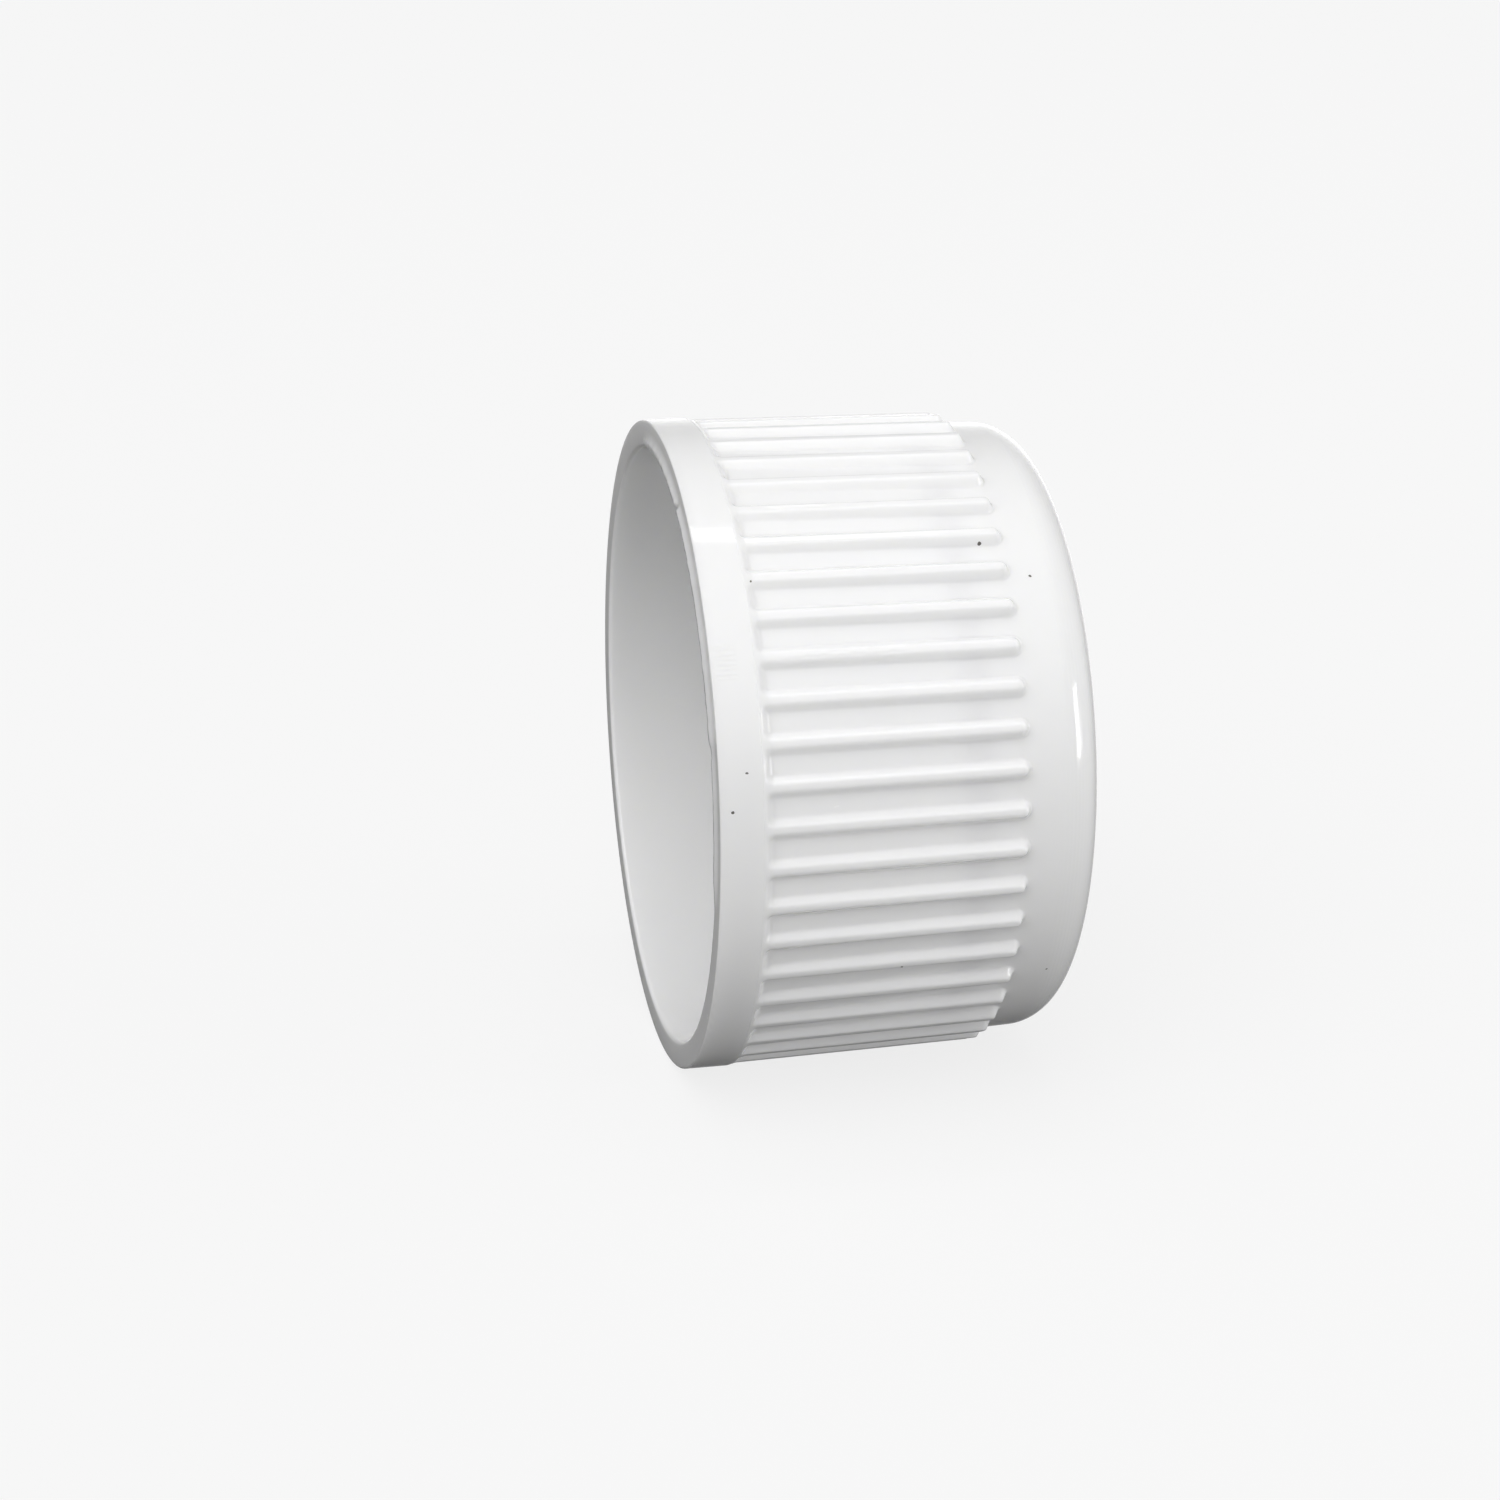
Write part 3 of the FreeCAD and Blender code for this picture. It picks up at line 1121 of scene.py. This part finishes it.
@dataclass(frozen=True)
class SoftPanel:
    """One soft light panel, aimed at the cap."""

    name: str
    towards: tuple  # direction from the cap to the panel
    distance: float  # m
    width: float  # m, along the panel's own X
    height: float  # m
    radiance: float

    def place(self, aim: Vector) -> bpy.types.Object:
        """Put the panel into the scene.

        Args:
            aim: Point it faces.

        Returns:
            The light.
        """
        light = bpy.data.lights.new(self.name, "AREA")
        light.shape = "RECTANGLE"
        light.size, light.size_y = self.width, self.height
        light.energy = self.radiance * math.pi * self.width * self.height
        made = bpy.data.objects.new(self.name, light)
        direction = Vector(self.towards).normalized()
        made.location = aim + direction * self.distance
        made.rotation_euler = direction.to_track_quat("Z", "Y").to_euler()
        bpy.context.scene.collection.objects.link(made)
        return made


@dataclass(frozen=True)
class Glow:
    """One soft glow of the surroundings."""

    turn: float  # degrees from the front, towards the closed end
    height: float  # degrees above the floor
    strength: float
    sharpness: float = 7.0  # the higher, the smaller the glow

    def direction(self) -> tuple:
        """Unit vector from the cap to the glow's middle."""
        turn, height = math.radians(self.turn), math.radians(self.height)
        return (math.sin(turn) * math.cos(height), -math.cos(turn) * math.cos(height), math.sin(height))


@dataclass
class Studio:
    """Pale floor, soft light and the camera."""

    floor_level: float = -27.75  # mm, under the band
    floor_half: float = 30.0  # m
    backdrop: float = 0.939
    floor_glow: float = 0.80
    floor_albedo: float = 0.14
    glows: tuple = (
        Glow(-45.0, 42.0, 2.7),
        Glow(90.0, 0.0, 1.2),
        Glow(0.0, 42.0, 0.8),
        Glow(0.0, -42.0, 0.6),
        Glow(-135.0, 42.0, 0.5),
        Glow(0.0, 90.0, 0.45),
        Glow(160.0, -5.0, 1.6, sharpness=20.0),
    )
    azimuth: float = -11.56
    elevation: float = 18.98
    distance: float = 315.8  # mm from the mouth's centre plane
    aside: float = 7.87  # mm to the camera's right
    above: float = -0.44  # mm up in the camera's frame
    lens: float = 88.48
    sensor: float = 36.0
    aim: float = 16.0  # mm from the mouth to the point the panels face
    panels: tuple = (
        SoftPanel("overhead_strip", towards=(0.03, 0.098, 0.975), distance=0.7,
                  width=0.36, height=0.055, radiance=6.0),
        SoftPanel("front_right_box", towards=(0.86, -0.47, 0.15), distance=0.7,
                  width=0.16, height=0.24, radiance=8.6),
    )

    def build_floor(self) -> bpy.types.Object:
        """Lay the floor the cap rests on.

        Returns:
            The floor.
        """
        level, half = self.floor_level * MM, self.floor_half
        mesh = bpy.data.meshes.new("studio_floor")
        mesh.from_pydata([(-half, -half, level), (half, -half, level), (half, half, level),
                          (-half, half, level)], [], [(0, 1, 2, 3)])
        floor = bpy.data.objects.new("studio_floor", mesh)
        bpy.context.scene.collection.objects.link(floor)
        material = bpy.data.materials.new("pale_floor")
        material.use_nodes = True
        shader = material.node_tree.nodes["Principled BSDF"]
        shade = (self.floor_albedo,) * 3
        shader.inputs["Base Color"].default_value = (*shade, 1.0)
        shader.inputs["Roughness"].default_value = 1.0
        shader.inputs["Specular IOR Level"].default_value = 0.0
        shader.inputs["Emission Color"].default_value = (1.0, 1.0, 1.0, 1.0)
        shader.inputs["Emission Strength"].default_value = self.floor_glow
        mesh.materials.append(material)
        floor.visible_diffuse = False
        floor.visible_glossy = False
        return floor

    def build_surroundings(self) -> None:
        """Light the cap from all round with soft glows; the camera sees an even backdrop."""
        world = bpy.data.worlds.new("studio_surroundings")
        world.use_nodes = True
        bpy.context.scene.world = world
        w = Wiring(world.node_tree)
        shine = world.node_tree.nodes["Background"]
        looked_at = w.node("ShaderNodeTexCoord").outputs["Generated"]
        light = 0.0
        for glow in self.glows:
            near = w.node("ShaderNodeVectorMath", operation="DOT_PRODUCT")
            w.feed(near.inputs[0], looked_at)
            near.inputs[1].default_value = glow.direction()
            away = w.maths("MULTIPLY", w.maths("SUBTRACT", near.outputs["Value"], 1.0),
                           glow.sharpness)
            light = w.maths("MULTIPLY_ADD", w.maths("EXPONENT", away), glow.strength, light)
        seen = w.node("ShaderNodeMix")
        w.feed(seen.inputs[0], w.node("ShaderNodeLightPath").outputs["Is Camera Ray"])
        w.feed(seen.inputs[2], light)
        seen.inputs[3].default_value = self.backdrop
        w.feed(shine.inputs["Strength"], seen.outputs[0])
        shine.inputs["Color"].default_value = (1.0, 1.0, 1.0, 1.0)

    def build_camera(self) -> bpy.types.Object:
        """Set up the camera.

        Returns:
            The camera.
        """
        turn, tilt = math.radians(self.azimuth), math.radians(self.elevation)
        back = Vector((math.sin(turn) * math.cos(tilt), -math.cos(turn) * math.cos(tilt),
                       math.sin(tilt)))
        right = Vector((0.0, 0.0, 1.0)).cross(back).normalized()
        up = back.cross(right)
        data = bpy.data.cameras.new("camera")
        data.sensor_width, data.lens = self.sensor, self.lens
        data.clip_start, data.clip_end = 0.01, 100.0
        camera = bpy.data.objects.new("camera", data)
        bpy.context.scene.collection.objects.link(camera)
        place = (back * self.distance + right * self.aside + up * self.above) * MM
        camera.matrix_world = Matrix.Translation(place) @ Matrix((right, up, back)).transposed().to_4x4()
        bpy.context.scene.camera = camera
        return camera

    def build(self) -> None:
        """Build everything round the cap."""
        self.build_floor()
        self.build_surroundings()
        for panel in self.panels:
            panel.place(Vector((self.aim * MM, 0.0, 0.0)))
        self.build_camera()
        view = bpy.context.scene.view_settings
        view.view_transform, view.look = "Standard", "None"


def main() -> None:
    """Build the cap, its ring and the studio."""
    logging.basicConfig(level=logging.INFO, format="%(name)s: %(message)s")
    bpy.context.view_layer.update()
    effects = SurfaceEffects()
    moulding = CapMoulding()
    tree = TurnTree(moulding.flash)
    for maker, finish in ((moulding, CAP_PLASTIC), (SealingRing(), RING_RUBBER)):
        piece = maker.build(tree, finish.build(effects))
        maker.dress(piece)
        LOG.info("%s: %d points, %d faces", piece.name, len(piece.data.vertices),
                 len(piece.data.polygons))
    Studio().build()


if __name__ == "__main__":
    main()
